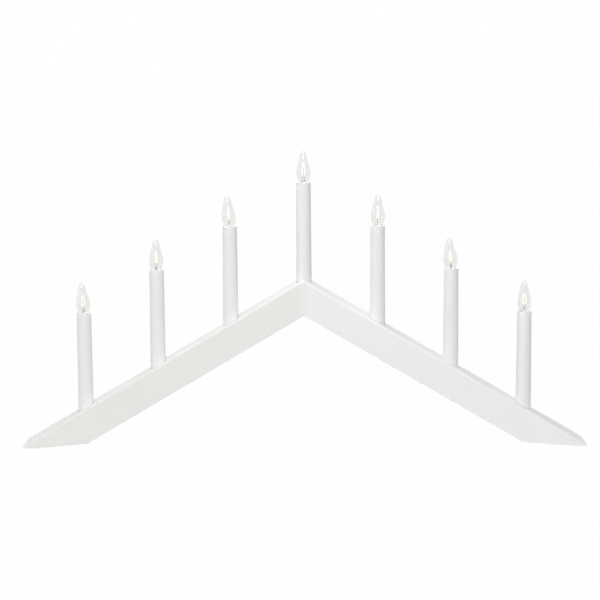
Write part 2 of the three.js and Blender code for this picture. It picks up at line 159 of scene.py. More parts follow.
def satin_paint(name, shade, light, tilt):
    material, tree = empty_finish(name)
    place = add_node(tree, "ShaderNodeTexCoord").outputs["Object"]
    along = add_node(tree, "ShaderNodeMapping", {
        "Vector": place, "Rotation": (0, tilt, 0), "Scale": (GRAIN_LENGTH, GRAIN_WIDTH, GRAIN_WIDTH),
    }, vector_type="TEXTURE")
    grain = add_node(tree, "ShaderNodeTexNoise", {"Vector": along.outputs[0], "Scale": 1.0, "Detail": 4.0})
    peel = add_node(tree, "ShaderNodeTexNoise", {"Vector": place, "Scale": 1 / PEEL_WIDTH, "Detail": 2.0})
    cloud = add_node(tree, "ShaderNodeTexNoise", {"Vector": place, "Scale": 1 / CLOUD_WIDTH, "Detail": 2.0})
    colour = add_node(tree, "ShaderNodeMix", {
        MIX_SHARE: cloud.outputs["Fac"], MIX_FIRST: linear(shade), MIX_SECOND: linear(light),
    }, data_type="RGBA").outputs[MIX_RESULT]
    # Close to the joint, the arm's painted shade or painted light fades into the middle tone.
    across = add_node(tree, "ShaderNodeSeparateXYZ", {0: place}).outputs["X"]
    from_joint = add_node(tree, "ShaderNodeMath", {0: across}, operation="ABSOLUTE").outputs[0]
    share = add_node(tree, "ShaderNodeMapRange", {
        "Value": from_joint, "From Max": PAINTED_SHADE_BLEND,
    }, interpolation_type="SMOOTHSTEP").outputs[0]
    painted = add_node(tree, "ShaderNodeMix", {
        MIX_SHARE: share, MIX_FIRST: linear(JOINT_PAINTED_SHADE), MIX_SECOND: colour,
    }, data_type="RGBA").outputs[MIX_RESULT]
    gloss = add_node(tree, "ShaderNodeMapRange", {
        "Value": grain.outputs["Fac"], "From Min": GRAIN_LOW, "From Max": GRAIN_HIGH,
        "To Min": SMOOTHEST, "To Max": ROUGHEST,
    })
    ridges = add_node(tree, "ShaderNodeBump", {"Height": grain.outputs["Fac"], "Distance": GRAIN_HEIGHT})
    pores = add_node(tree, "ShaderNodeBump", {
        "Height": peel.outputs["Fac"], "Distance": PEEL_HEIGHT, "Normal": ridges.outputs[0],
    })
    shader = add_node(tree, "ShaderNodeBsdfPrincipled", {
        "Base Color": painted, "Roughness": gloss.outputs[0], "IOR": 1.5, "Normal": pores.outputs[0],
    })
    add_node(tree, "ShaderNodeOutputMaterial", {"Surface": shader.outputs[0]})
    return material


# Left arm: a darker white as painted shade. Right arm: a lighter white as painted light.
left_paint_painted_shade = satin_paint("satin_white_paint_left_arm_painted_shade", shade="#e9e9e6", light="#ececea", tilt=-SLOPE)
right_paint_painted_light = satin_paint("satin_white_paint_right_arm_painted_light", shade="#f0f0ee", light="#f3f3f2", tilt=SLOPE)
print("paint ridges are", GRAIN_WIDTH / MM, "mm wide")

# %% [markdown]
# ## Moulded plastics
# The candle tubes are white polypropylene with the soft shine of a polished mould, a little
# cooler than the paint. The lamp holders inside them are white urea, pressed and duller. The cord
# bush is polyamide and the wires are covered with pale PVC, both rather dull. All get a faint flow
# pattern, stretched upwards, the way the melt ran in the tubes. They differ only in colours
# and sizes, so one function makes them all.

# %% Moulded plastics
FLOW_HEIGHT = 0.008 * MM
FLOW_GLOSS = 0.05


def moulded(name, shade, light, roughness, flow_width, flow_length):
    material, tree = empty_finish(name)
    place = add_node(tree, "ShaderNodeTexCoord").outputs["Object"]
    along = add_node(tree, "ShaderNodeMapping", {
        "Vector": place, "Scale": (flow_width, flow_width, flow_length),
    }, vector_type="TEXTURE")
    flow = add_node(tree, "ShaderNodeTexNoise", {"Vector": along.outputs[0], "Scale": 1.0, "Detail": 3.0})
    colour = add_node(tree, "ShaderNodeMix", {
        MIX_SHARE: flow.outputs["Fac"], MIX_FIRST: linear(shade), MIX_SECOND: linear(light),
    }, data_type="RGBA").outputs[MIX_RESULT]
    gloss = add_node(tree, "ShaderNodeMapRange", {
        "Value": flow.outputs["Fac"], "To Min": roughness - FLOW_GLOSS, "To Max": roughness + FLOW_GLOSS,
    })
    skin = add_node(tree, "ShaderNodeBump", {"Height": flow.outputs["Fac"], "Distance": FLOW_HEIGHT})
    shader = add_node(tree, "ShaderNodeBsdfPrincipled", {
        "Base Color": colour, "Roughness": gloss.outputs[0], "IOR": 1.49, "Normal": skin.outputs[0],
    })
    add_node(tree, "ShaderNodeOutputMaterial", {"Surface": shader.outputs[0]})
    return material


tube_plastic = moulded("moulded_white_polypropylene", "#eaeaec", "#eeeef0",
                       roughness=0.38, flow_width=3 * MM, flow_length=24 * MM)
holder_plastic = moulded("pressed_white_urea", "#efeeea", "#f3f2ef",
                         roughness=0.5, flow_width=1.5 * MM, flow_length=3 * MM)
bush_plastic = moulded("moulded_white_polyamide", "#e6e6e4", "#eeeeec",
                       roughness=0.45, flow_width=1.5 * MM, flow_length=3 * MM)
wire_cover = moulded("extruded_pale_pvc", "#d8d6ce", "#e0ded8",
                     roughness=0.5, flow_width=1 * MM, flow_length=12 * MM)
print("plastics:", tube_plastic.name, holder_plastic.name, bush_plastic.name, wire_cover.name)

# %% [markdown]
# ## Metals
# The screw shells are rolled brass, a warm yellow. The caps are nickel plated, which is a paler
# grey, and the button is dull solder. The lead wires are drawn nickel, and a warm painted glow from
# the filament is in their colour. Working the metal leaves fine rings round the axis. They could
# be modelled, but a noise that is thin in height and wide across gives such rings on every candle
# at once. Real ones are too fine to show, so they are drawn coarser.

# %% Metals
RING_WIDTH = 0.35 * MM
RING_HEIGHT = 0.01 * MM
RING_GLOSS = 0.07


def rolled_metal(name, shade, light, roughness):
    material, tree = empty_finish(name)
    place = add_node(tree, "ShaderNodeTexCoord").outputs["Object"]
    across = add_node(tree, "ShaderNodeMapping", {
        "Vector": place, "Scale": (1.0, 1.0, RING_WIDTH),
    }, vector_type="TEXTURE")
    rings = add_node(tree, "ShaderNodeTexNoise", {"Vector": across.outputs[0], "Scale": 1.0, "Detail": 3.0})
    colour = add_node(tree, "ShaderNodeMix", {
        MIX_SHARE: rings.outputs["Fac"], MIX_FIRST: linear(shade), MIX_SECOND: linear(light),
    }, data_type="RGBA").outputs[MIX_RESULT]
    gloss = add_node(tree, "ShaderNodeMapRange", {
        "Value": rings.outputs["Fac"], "To Min": roughness - RING_GLOSS, "To Max": roughness + RING_GLOSS,
    })
    lines = add_node(tree, "ShaderNodeBump", {"Height": rings.outputs["Fac"], "Distance": RING_HEIGHT})
    shader = add_node(tree, "ShaderNodeBsdfPrincipled", {
        "Base Color": colour, "Metallic": 1.0, "Roughness": gloss.outputs[0], "Normal": lines.outputs[0],
    })
    add_node(tree, "ShaderNodeOutputMaterial", {"Surface": shader.outputs[0]})
    return material


brass = rolled_metal("rolled_brass", "#b8893f", "#d2a75a", roughness=0.3)
nickel = rolled_metal("nickel_plated_brass", "#cfcdc7", "#dddbd6", roughness=0.34)
solder = rolled_metal("tin_solder", "#9a9b9c", "#b4b5b6", roughness=0.42)
# The lead wires' warm tint is the filament's glow, painted onto the grey of the nickel.
lead_metal_painted_glow = rolled_metal("drawn_nickel_lead_wire_painted_glow", "#c6b6ab", "#d8cac1", roughness=0.5)
print("metals:", brass.name, nickel.name, solder.name, lead_metal_painted_glow.name)

# %% [markdown]
# ## Glass
# The bulbs are blown from clear soda-lime glass. It is see-through with a touch of grey, and the
# blowing leaves slow waves in it. A skin without thickness could stand for it, but then the edges
# don't darken as they do on a real bulb. So the bulb has a real wall with two faces, and the shader
# only needs the right index. The pressed insulator under the cap is glass too, but almost black.

# %% Glass
def glass(name, colour, wave_width, wave_height, clear):
    material, tree = empty_finish(name)
    place = add_node(tree, "ShaderNodeTexCoord").outputs["Object"]
    waves = add_node(tree, "ShaderNodeTexNoise", {"Vector": place, "Scale": 1 / wave_width, "Detail": 1.0})
    surface = add_node(tree, "ShaderNodeBump", {"Height": waves.outputs["Fac"], "Distance": wave_height})
    shader = add_node(tree, "ShaderNodeBsdfPrincipled", {
        "Base Color": linear(colour), "Roughness": 0.02, "IOR": 1.52, "Transmission Weight": clear,
        "Normal": surface.outputs[0],
    })
    add_node(tree, "ShaderNodeOutputMaterial", {"Surface": shader.outputs[0]})
    return material


bulb_glass = glass("blown_clear_glass", "#f4f4f3", wave_width=9 * MM, wave_height=0.006 * MM, clear=1.0)
stem_glass = glass("pinched_clear_glass", "#f3f3f2", wave_width=2.5 * MM, wave_height=0.006 * MM, clear=1.0)
dark_glass = glass("pressed_dark_glass", "#26252a", wave_width=1.0 * MM, wave_height=0.02 * MM, clear=0.0)
print("glasses:", bulb_glass.name, stem_glass.name, dark_glass.name)

# %% [markdown]
# ## The lit filament
# A tungsten hairpin at a low glow is warm white. A lamp in each bulb could light it, but the real
# wire gives its own light. So does this one: the emission carries the look, and a noise changes
# its warmth a little along the coil.

# %% Glowing tungsten
GLOW_WIDTH = 1.2 * MM
GLOW_STRENGTH = 1.9


def glowing_tungsten(name):
    material, tree = empty_finish(name)
    place = add_node(tree, "ShaderNodeTexCoord").outputs["Object"]
    warmth = add_node(tree, "ShaderNodeTexNoise", {"Vector": place, "Scale": 1 / GLOW_WIDTH, "Detail": 1.0})
    glow = add_node(tree, "ShaderNodeMix", {
        MIX_SHARE: warmth.outputs["Fac"], MIX_FIRST: linear("#ffd2b8"), MIX_SECOND: linear("#ffe2d4"),
    }, data_type="RGBA").outputs[MIX_RESULT]
    shader = add_node(tree, "ShaderNodeBsdfPrincipled", {
        "Base Color": linear("#77716a"), "Metallic": 1.0, "Roughness": 0.4,
        "Emission Color": glow, "Emission Strength": GLOW_STRENGTH,
    })
    add_node(tree, "ShaderNodeOutputMaterial", {"Surface": shader.outputs[0]})
    return material


tungsten = glowing_tungsten("glowing_coiled_tungsten")
print("filament:", tungsten.name)

# %% [markdown]
# ## Beech for the dowels
# The two dowels in the mitre are turned beech, a warm tan with short dark flecks along the rod.
# They sit inside the joint, where one plain tan would do. But the solids are there for whoever
# takes the part to pieces, so they get their wood: a noise drawn out along the rod.

# %% Turned beech
FLECK_LENGTH = 6 * MM
FLECK_WIDTH = 0.5 * MM
FLECK_HEIGHT = 0.05 * MM


def turned_beech(name):
    material, tree = empty_finish(name)
    place = add_node(tree, "ShaderNodeTexCoord").outputs["Object"]
    along = add_node(tree, "ShaderNodeMapping", {
        "Vector": place, "Scale": (FLECK_LENGTH, FLECK_WIDTH, FLECK_WIDTH),
    }, vector_type="TEXTURE")
    flecks = add_node(tree, "ShaderNodeTexNoise", {"Vector": along.outputs[0], "Scale": 1.0, "Detail": 4.0})
    colour = add_node(tree, "ShaderNodeMix", {
        MIX_SHARE: flecks.outputs["Fac"], MIX_FIRST: linear("#b98f5f"), MIX_SECOND: linear("#dcbb8d"),
    }, data_type="RGBA").outputs[MIX_RESULT]
    fibres = add_node(tree, "ShaderNodeBump", {"Height": flecks.outputs["Fac"], "Distance": FLECK_HEIGHT})
    shader = add_node(tree, "ShaderNodeBsdfPrincipled", {
        "Base Color": colour, "Roughness": 0.65, "Normal": fibres.outputs[0],
    })
    add_node(tree, "ShaderNodeOutputMaterial", {"Surface": shader.outputs[0]})
    return material


beech = turned_beech("turned_raw_beech")
print("dowels:", beech.name)

# %% [markdown]
# ## Where the candles stand
# The seven candles stand at even steps along the arms. Their places could be typed in, but they are
# read off the solids, so the finer pieces can't drift away from them. A candle's step is counted
# from the middle one. All sizes inside a candle are in millimetres, with heights counted from its
# rim, downwards below zero.

# %% Measure the candles
CANDLE_COUNT = 7
MIDDLE = 4

candles = []
for number in range(1, CANDLE_COUNT + 1):
    low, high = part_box(f"candle_tube_{number}")
    candles.append({"number": number, "step": number - MIDDLE, "x": (low.x + high.x) / 2, "rim": high.z})
middle, next_right = candles[MIDDLE - 1], candles[MIDDLE]
PITCH = next_right["x"] - middle["x"]
RISE = (middle["rim"] - next_right["rim"]) / PITCH
MIDDLE_RIM = middle["rim"]
print("candles", round(PITCH / MM, 2), "mm apart, each", round(RISE * PITCH / MM, 2), "mm lower")

# %% [markdown]
# ## The arms
# Each arm is a planed batten with its long edges sanded round by hand, so the two arms differ a
# little, and sawn at the foot and at the mitre. It could be drawn as one outline, but then its
# edges stay sharp. So it is made as in the workshop: a long bar with a rounded section, then saw
# cuts with the bisect tool. The foot's edges get a touch of sandpaper, a small bevel. The mitre is
# sawn last and stays sharp, because the joint is glued, filled and painted over.

# %% Section of a batten
ARM_HEIGHT = 35.1 * MM
ARM_DEPTH = 50 * MM
TOP_RADIUS = {-1: 0.9 * MM, 1: 1.9 * MM}
UNDER_RADIUS = 0.5 * MM
EDGE_STEPS = 6


def rounded_section(height, depth, top_radius, steps):
    corners = ((1, 1, 0), (-1, 1, 90), (-1, -1, 180), (1, -1, 270))
    points = []
    for side, level, start in corners:
        radius = top_radius if level > 0 else UNDER_RADIUS
        for i in range(steps + 1):
            angle = math.radians(start + 90 * i / steps)
            y = side * (depth / 2 - radius) + radius * math.cos(angle)
            z = level * (height / 2 - radius) + radius * math.sin(angle)
            points.append((y, z))
    return points


trial = rounded_section(ARM_HEIGHT, ARM_DEPTH, TOP_RADIUS[1], EDGE_STEPS)
print("section of a batten:", len(trial), "points")

# %% Batten and saw cuts
BAR_START, BAR_END = -100 * MM, 500 * MM
GLUE_LINE = 0.2 * MM
FOOT_LANDING = 15 * MM
FOOT_RELIEF = math.radians(5)
HALF_SPAN = cad_box[1].x
APEX_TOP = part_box("right_arm")[1].z


def saw(mesh, point, outward):
    parts = mesh.verts[:] + mesh.edges[:] + mesh.faces[:]
    cut = bmesh.ops.bisect_plane(mesh, geom=parts, plane_co=point, plane_no=outward, clear_outer=True)
    rim = [e for e in cut["geom_cut"] if isinstance(e, bmesh.types.BMEdge)]
    bmesh.ops.contextual_create(mesh, geom=rim)


def batten(side):
    mesh = bmesh.new()
    section = rounded_section(ARM_HEIGHT, ARM_DEPTH, TOP_RADIUS[side], EDGE_STEPS)
    ends = []
    for x in (BAR_START, BAR_END):
        ends.append([mesh.verts.new((x, y, z - ARM_HEIGHT / 2)) for y, z in section])
    mesh.faces.new(ends[0])
    mesh.faces.new(ends[1])
    for i in range(len(section)):
        j = (i + 1) % len(section)
        mesh.faces.new((ends[0][i], ends[0][j], ends[1][j], ends[1][i]))
    bmesh.ops.transform(mesh, matrix=Matrix.Rotation(SLOPE, 4, "Y"), verts=mesh.verts[:])
    bmesh.ops.translate(mesh, vec=(0, 0, APEX_TOP + GLUE_LINE / 2 * RISE), verts=mesh.verts[:])
    landing_start = HALF_SPAN - FOOT_LANDING
    saw(mesh, (HALF_SPAN, 0, 0), (1, 0, 0))
    saw(mesh, (0, 0, 0), (0, 0, -1))
    saw(mesh, (landing_start, 0, 0), (-math.sin(FOOT_RELIEF), 0, -math.cos(FOOT_RELIEF)))
    if side < 0:
        bmesh.ops.scale(mesh, vec=(-1, 1, 1), verts=mesh.verts[:])
    bmesh.ops.recalc_face_normals(mesh, faces=mesh.faces[:])
    return mesh


trial = batten(1)
reach = max(vertex.co.x for vertex in trial.verts)
print("one batten:", len(trial.faces), "faces, longest reach", round(reach / MM, 2), "mm")
trial.free()

# %% [markdown]
# ## Holes and grooves in the arms
# The candle holes, the wire groove and the hole for the cord bush are cut into the batten. They
# could be drawn into its faces, but cutting is simpler and is what the workshop does. A Boolean
# modifier takes one cutter away after the other, and each cutter goes once its cut is made.

# %% Cutters
TUBE_HOLE = 9.4 * MM
TUBE_SEAT = 14 * MM
TUBE_SHOW = 113.1 * MM
GROOVE_WIDTH = 8 * MM
GROOVE_DEPTH = 9 * MM
GROOVE_REACH = 30 * MM
OVERCUT = 5 * MM
UPRIGHT = 1 / math.cos(SLOPE)


def top_at(x):
    return MIDDLE_RIM - TUBE_SHOW - abs(x) * RISE


def ceiling_at(x):
    return top_at(x) - (ARM_HEIGHT - GROOVE_DEPTH) * UPRIGHT


def rod(mesh, radius, low, high, sides):
    low, high = Vector(low), Vector(high)
    turn = (high - low).to_track_quat("Z", "Y").to_matrix().to_4x4()
    place = Matrix.Translation((low + high) / 2) @ turn
    bmesh.ops.create_cone(mesh, cap_ends=True, segments=sides, radius1=radius, radius2=radius,
                          depth=(high - low).length, matrix=place)


def groove(mesh, side):
    ends = ((-OVERCUT, -GROOVE_REACH), (HALF_SPAN, -GROOVE_REACH), (HALF_SPAN, 0), (-OVERCUT, 0))
    ceiling = APEX_TOP - (ARM_HEIGHT - GROOVE_DEPTH) * UPRIGHT
    loops = []
    for y in (-GROOVE_WIDTH / 2, GROOVE_WIDTH / 2):
        loops.append([mesh.verts.new((side * x, y, ceiling - x * RISE + drop)) for x, drop in ends])
    mesh.faces.new(loops[0])
    mesh.faces.new(loops[1])
    for i in range(len(ends)):
        j = (i + 1) % len(ends)
        mesh.faces.new((loops[0][i], loops[0][j], loops[1][j], loops[1][i]))


print("middle hole is", round(2 * TUBE_HOLE / MM, 1), "mm wide and", round(TUBE_SEAT / MM, 1), "mm deep")

# %% Bores in each arm
WIRE_HOLE = 3.5 * MM
BUSH_BARREL = 3.5 * MM
BUSH_SINK = 4.9 * MM
BUSH_RECESS = 23.4 * MM
BORE_REACH = 40 * MM
TUBE_HOLE_SIDES, BUSH_SINK_SIDES, SMALL_HOLE_SIDES = 64, 48, 32


def bores(side):
    """The radius, both ends and the number of sides of every bore in one arm."""
    cuts = []
    for candle in candles:
        if candle["step"] * side < 0:
            continue
        x, seat = candle["x"], top_at(candle["x"]) - TUBE_SEAT
        cuts.append((TUBE_HOLE, (x, 0, seat), (x, 0, seat + BORE_REACH), TUBE_HOLE_SIDES))
        cuts.append((WIRE_HOLE, (x, 0, ceiling_at(x) - OVERCUT), (x, 0, seat + OVERCUT), SMALL_HOLE_SIDES))
    if side > 0:
        low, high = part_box("cord_bush")
        x, z = (low.x + high.x) / 2, (low.z + high.z) / 2
        cuts.append((BUSH_BARREL, (x, 0, z), (x, BORE_REACH, z), SMALL_HOLE_SIDES))
        cuts.append((BUSH_SINK, (x, BUSH_RECESS, z), (x, BORE_REACH, z), BUSH_SINK_SIDES))
    return cuts


print("bores: left arm", len(bores(-1)), "and right arm", len(bores(1)))

# %% Mitre saw, Boolean cut and even shading
PAINTED_SEAM = 0.02 * MM


def mesh_object(name, mesh):
    data = bpy.data.meshes.new(name)
    mesh.to_mesh(data)
    mesh.free()
    made = bpy.data.objects.new(name, data)
    bpy.context.scene.collection.objects.link(made)
    return made


def plain(made):
    """Keep what the modifiers make as the object's own mesh."""
    graph = bpy.context.evaluated_depsgraph_get()
    made.data = bpy.data.meshes.new_from_object(made.evaluated_get(graph))
    made.modifiers.clear()


def shade_smooth(made, sharp_above):
    made.data.polygons.foreach_set("use_smooth", [True] * len(made.data.polygons))
    made.data.set_sharp_from_angle(angle=sharp_above)


def saw_mitre(arm, side):
    mesh = bmesh.new()
    mesh.from_mesh(arm.data)
    saw(mesh, (side * PAINTED_SEAM / 2, 0, 0), (-side, 0, 0))
    bmesh.ops.recalc_face_normals(mesh, faces=mesh.faces[:])
    mesh.to_mesh(arm.data)
    mesh.free()


def cut_away(arm, tool):
    cut = arm.modifiers.new("bore", "BOOLEAN")
    cut.operation, cut.object, cut.solver = "DIFFERENCE", tool, "EXACT"
    plain(arm)
    bpy.data.objects.remove(tool)


print("the painted mitre has a seam of", PAINTED_SEAM / MM, "mm")

# %% Bored arms
SANDED_EDGE = 0.3 * MM
SANDED_STEPS = 2
SANDED_ABOVE = math.radians(40)
SHARP_ABOVE = math.radians(32)
LARGE_FACES_FIRST = 100


def bored_arm(word, side, paint):
    arm = mesh_object(f"painted_{word}_arm", batten(side))
    arm.data.materials.append(paint)
    edge = arm.modifiers.new("sanded_edges", "BEVEL")
    edge.width, edge.segments, edge.angle_limit = SANDED_EDGE, SANDED_STEPS, SANDED_ABOVE
    plain(arm)
    saw_mitre(arm, side)
    channel = bmesh.new()
    groove(channel, side)
    bmesh.ops.recalc_face_normals(channel, faces=channel.faces[:])
    tools = [mesh_object("groove_cutter", channel)]
    for radius, low, high, sides in bores(side):
        bore = bmesh.new()
        rod(bore, radius, low, high, sides)
        tools.append(mesh_object("bore_cutter", bore))
    for tool in tools:
        cut_away(arm, tool)
    shade_smooth(arm, SHARP_ABOVE)
    level = arm.modifiers.new("even_shading", "WEIGHTED_NORMAL")
    level.keep_sharp, level.weight = True, LARGE_FACES_FIRST
    plain(arm)
    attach(arm, "frame")
    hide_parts(f"{word}_arm")
    print(arm.name, len(arm.data.polygons), "faces")


bored_arm("left", -1, left_paint_painted_shade)
bored_arm("right", 1, right_paint_painted_light)

# %% [markdown]
# ## A tree for turned pieces
# Tubes, holders, shells, caps and glass are all round, and there is one on every candle. They could
# be spun one by one, but a Geometry Nodes tree makes them all from their profiles. It bends a grid
# round the axis, with each row at the radius and height of one point of a profile, and adds the
# screw thread where the piece has one. Then it puts the piece on a row of points that follows the
# slope of the arms.

# %% Turned pieces: what the tree is given
def tree_with(name, inputs, output):
    """A new tree with its inputs and its output, and the sockets that hand the inputs in."""
    tree = bpy.data.node_groups.new(name, "GeometryNodeTree")
    for socket, kind in inputs.items():
        tree.interface.new_socket(socket, in_out="INPUT", socket_type=f"NodeSocket{kind}")
    tree.interface.new_socket(output, in_out="OUTPUT", socket_type="NodeSocketGeometry")
    return tree, add_node(tree, "NodeGroupInput").outputs


def hand_out(tree, shape, finish, output):
    """Make instances real, give them their finish, and end the tree."""
    real = add_node(tree, "GeometryNodeRealizeInstances", {"Geometry": shape}).outputs[0]
    dressed = add_node(tree, "GeometryNodeSetMaterial", {"Geometry": real, "Material": finish}).outputs[0]
    add_node(tree, "NodeGroupOutput", {output: dressed})


turned_pieces, given = tree_with("turned_pieces_along_the_arms", {
    "Profile": "Geometry", "Sides": "Int", "Candles": "Int", "First step": "Int", "Candle pitch": "Float",
    "Rise": "Float", "Middle rim": "Float", "Thread depth": "Float", "Thread pitch": "Float",
    "Thread from": "Float", "Thread to": "Float", "Finish": "Material",
}, "Pieces")
print("tree:", turned_pieces.name)

# %% Turned pieces: a grid with one row for each point of the profile
tree = turned_pieces
rows = add_node(tree, "GeometryNodeAttributeDomainSize", {
    "Geometry": given["Profile"],
}).outputs["Point Count"]
index = add_node(tree, "GeometryNodeInputIndex").outputs[0]
columns = add_node(tree, "ShaderNodeMath", {0: given["Sides"], 1: 1.0}, operation="ADD").outputs[0]
grid = add_node(tree, "GeometryNodeMeshGrid", {"Vertices X": columns, "Vertices Y": rows}).outputs["Mesh"]
row = add_node(tree, "ShaderNodeMath", {0: index, 1: rows}, operation="MODULO").outputs[0]
ratio = add_node(tree, "ShaderNodeMath", {0: index, 1: rows}, operation="DIVIDE").outputs[0]
column = add_node(tree, "ShaderNodeMath", {0: ratio}, operation="FLOOR").outputs[0]
share = add_node(tree, "ShaderNodeMath", {0: column, 1: given["Sides"]}, operation="DIVIDE").outputs[0]
position = add_node(tree, "GeometryNodeInputPosition").outputs[0]
spot = add_node(tree, "GeometryNodeSampleIndex", {
    "Geometry": given["Profile"], "Value": position, "Index": row,
}, data_type="FLOAT_VECTOR").outputs["Value"]
drawn = add_node(tree, "ShaderNodeSeparateXYZ", {0: spot}).outputs
print("with the grid:", len(tree.nodes), "nodes")

# %% Turned pieces: the thread, a wave that climbs one pitch a turn and fades at both ends
FULL_TURN = 2 * math.pi

turns = add_node(tree, "ShaderNodeMath", {
    0: drawn["Z"], 1: given["Thread pitch"],
}, operation="DIVIDE").outputs[0]
phase = add_node(tree, "ShaderNodeMath", {0: turns, 1: share}, operation="SUBTRACT").outputs[0]
swing = add_node(tree, "ShaderNodeMath", {0: phase, 1: FULL_TURN}, operation="MULTIPLY").outputs[0]
wave = add_node(tree, "ShaderNodeMath", {0: swing}, operation="COSINE").outputs[0]
lead_in = add_node(tree, "ShaderNodeMath", {
    0: given["Thread from"], 1: given["Thread pitch"],
}, operation="ADD").outputs[0]
run_out = add_node(tree, "ShaderNodeMath", {
    0: given["Thread to"], 1: given["Thread pitch"],
}, operation="SUBTRACT").outputs[0]
start = add_node(tree, "ShaderNodeMapRange", {
    "Value": drawn["Z"], "From Min": given["Thread from"], "From Max": lead_in,
}, interpolation_type="SMOOTHSTEP").outputs[0]
stop = add_node(tree, "ShaderNodeMapRange", {
    "Value": drawn["Z"], "From Min": run_out, "From Max": given["Thread to"],
    "To Min": 1.0, "To Max": 0.0,
}, interpolation_type="SMOOTHSTEP").outputs[0]
window = add_node(tree, "ShaderNodeMath", {0: start, 1: stop}, operation="MULTIPLY").outputs[0]
ridge = add_node(tree, "ShaderNodeMath", {0: wave, 1: window}, operation="MULTIPLY").outputs[0]
radius = add_node(tree, "ShaderNodeMath", {
    0: ridge, 1: given["Thread depth"], 2: drawn["X"],
}, operation="MULTIPLY_ADD").outputs[0]
print("with the thread:", len(tree.nodes), "nodes")

# %% Turned pieces: bend the grid round the axis and close its seam
SEAM_WIDTH = 1e-7

angle = add_node(tree, "ShaderNodeMath", {0: share, 1: FULL_TURN}, operation="MULTIPLY").outputs[0]
cosine = add_node(tree, "ShaderNodeMath", {0: angle}, operation="COSINE").outputs[0]
sine = add_node(tree, "ShaderNodeMath", {0: angle}, operation="SINE").outputs[0]
x = add_node(tree, "ShaderNodeMath", {0: radius, 1: cosine}, operation="MULTIPLY").outputs[0]
y = add_node(tree, "ShaderNodeMath", {0: radius, 1: sine}, operation="MULTIPLY").outputs[0]
bent = add_node(tree, "ShaderNodeCombineXYZ", {"X": x, "Y": y, "Z": drawn["Z"]}).outputs[0]
round_piece = add_node(tree, "GeometryNodeSetPosition", {"Geometry": grid, "Position": bent}).outputs[0]
closed = add_node(tree, "GeometryNodeMergeByDistance", {
    "Geometry": round_piece, "Distance": SEAM_WIDTH,
}).outputs[0]
print("with the bend:", len(tree.nodes), "nodes")

# %% Turned pieces: one on each rim along the arms
step = add_node(tree, "ShaderNodeMath", {0: given["First step"], 1: index}, operation="ADD").outputs[0]
across = add_node(tree, "ShaderNodeMath", {
    0: step, 1: given["Candle pitch"],
}, operation="MULTIPLY").outputs[0]
away = add_node(tree, "ShaderNodeMath", {0: across}, operation="ABSOLUTE").outputs[0]
drop = add_node(tree, "ShaderNodeMath", {0: away, 1: given["Rise"]}, operation="MULTIPLY").outputs[0]
height = add_node(tree, "ShaderNodeMath", {
    0: given["Middle rim"], 1: drop,
}, operation="SUBTRACT").outputs[0]
rim = add_node(tree, "ShaderNodeCombineXYZ", {"X": across, "Z": height}).outputs[0]
rims = add_node(tree, "GeometryNodePoints", {"Count": given["Candles"], "Position": rim}).outputs[0]
placed = add_node(tree, "GeometryNodeInstanceOnPoints", {"Points": rims, "Instance": closed}).outputs[0]
hand_out(tree, placed, given["Finish"], "Pieces")
print("tree:", turned_pieces.name, "with", len(tree.nodes), "nodes")

# %% Run a tree on a line of points
SMOOTH_BELOW = math.radians(35)
THREAD_PITCH = 1.81


def grown(name, tree, points, values):
    """Draw a line through the points, run the tree on it, and keep the result as a plain mesh."""
    line = bpy.data.meshes.new(name)
    line.from_pydata(points, [(i, i + 1) for i in range(len(points) - 1)], [])
    made = bpy.data.objects.new(name, line)
    bpy.context.scene.collection.objects.link(made)
    shape = made.modifiers.new("shape", "NODES")
    shape.node_group = tree
    for item in tree.interface.items_tree:
        if item.in_out == "INPUT" and item.name in values:
            shape[item.identifier] = values[item.name]
    plain(made)
    body = bmesh.new()
    body.from_mesh(made.data)
    bmesh.ops.recalc_face_normals(body, faces=body.faces[:])
    body.to_mesh(made.data)
    body.free()
    shade_smooth(made, SMOOTH_BELOW)
    return made


def turned(name, profile, finish, sides, first=1 - MIDDLE, count=CANDLE_COUNT, thread=(0.0, 0.0, 0.0)):
    """A round piece from its (radius, height) profile in mm, on one candle or on several."""
    depth, low, high = thread
    points = [(radius * MM, 0, height * MM) for radius, height in profile]
    return grown(name, turned_pieces, points, {
        "Sides": sides, "Candles": count, "First step": first, "Candle pitch": PITCH, "Rise": RISE,
        "Middle rim": MIDDLE_RIM, "Thread depth": depth * MM, "Thread pitch": THREAD_PITCH * MM,
        "Thread from": low * MM, "Thread to": high * MM, "Finish": finish,
    })


def arc(x, z, radius, start, end, count=6):
    angles = [math.radians(start + (end - start) * i / count) for i in range(count + 1)]
    return [(x + radius * math.cos(a), z + radius * math.sin(a)) for a in angles]


print("thread pitch", THREAD_PITCH, "mm")

# %% [markdown]
# ## Candle tubes
# The tubes are slim white sleeves, a little wider at the foot than at the rim, with a softly rounded
# lip. A ledge inside holds the lamp holder. A cone with a hole would show a knife edge at the rim.
# So the profile goes up the outside, over the lip and down the inside, and ends where it began,
# which gives the sleeve a real wall.

# %% Candle tubes
TUBE_FOOT, TUBE_RIM, TUBE_BORE, TUBE_WALL = 9.1, 8.4, 7.35, 1.05
TUBE_BOTTOM = -126.9
TUBE_ROWS = 12
LIP = 0.45
LEDGE_TOP, LEDGE_BOTTOM, LEDGE_BORE = -21.7, -23.7, 6.2

